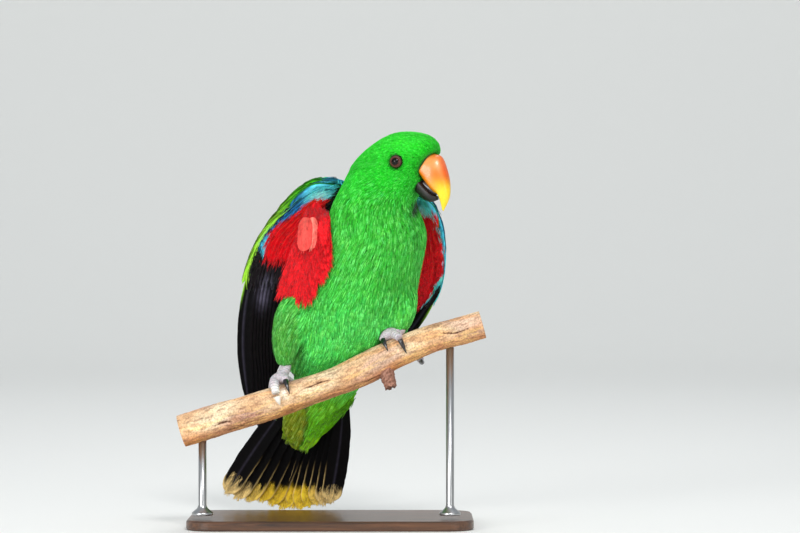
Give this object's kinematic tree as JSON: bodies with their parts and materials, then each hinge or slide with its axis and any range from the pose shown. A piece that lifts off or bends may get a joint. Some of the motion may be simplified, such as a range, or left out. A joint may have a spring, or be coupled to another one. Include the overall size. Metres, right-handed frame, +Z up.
{
  "type": "eclectus parrot",
  "caption": "Life-size male eclectus parrot perched upright with half-open wings, its feet closed round a short cut branch that two rods hold over a flat base.",
  "frame": {"origin": "centre of the stand's underside, on the floor", "axes": "+Z up; the bird's belly faces -Y, its head is turned towards +X and its tail hangs towards +Y and -X; the branch runs along X and rises towards +X"},
  "size_m": [0.2477, 0.1457, 0.3192],
  "materials": {
    "plumage_green": "soft green body feathers",
    "plumage_red": "soft red armpit feathers",
    "wing_feathers": "green, blue, black and red wing feathers",
    "tail_feathers": "black tail feathers with yellow tips",
    "bill_horn": "orange bill with a yellow tip",
    "mandible_horn": "black lower bill",
    "eye": "wet dark eye",
    "foot_skin": "grey scaled skin",
    "claw_horn": "black claws",
    "bark": "tan speckled bark",
    "base_wood": "dark satin wood",
    "rod_steel": "brushed steel"
  },
  "bodies": {
    "root": {"head": "plumage_green", "neck": "plumage_green", "torso": "plumage_green", "bill_upper": "bill_horn", "bill_lower": "mandible_horn", "eye_right": "eye", "eye_left": "eye", "leg_right": "plumage_green", "foot_right": "foot_skin", "leg_left": "plumage_green", "foot_left": "foot_skin", "axillaries_right": "plumage_red", "wing_right": "wing_feathers", "wing_left": "wing_feathers", "tail": "tail_feathers", "perch": "bark", "stand_rod_left": "rod_steel", "stand_rod_right": "rod_steel", "stand_base": "base_wood", "claw_right_inner_front": "claw_horn", "claw_right_outer_front": "claw_horn", "claw_right_inner_back": "claw_horn", "claw_right_outer_back": "claw_horn", "claw_left_inner_front": "claw_horn", "claw_left_outer_front": "claw_horn", "claw_left_inner_back": "claw_horn", "claw_left_outer_back": "claw_horn"}
  },
  "joints": []
}
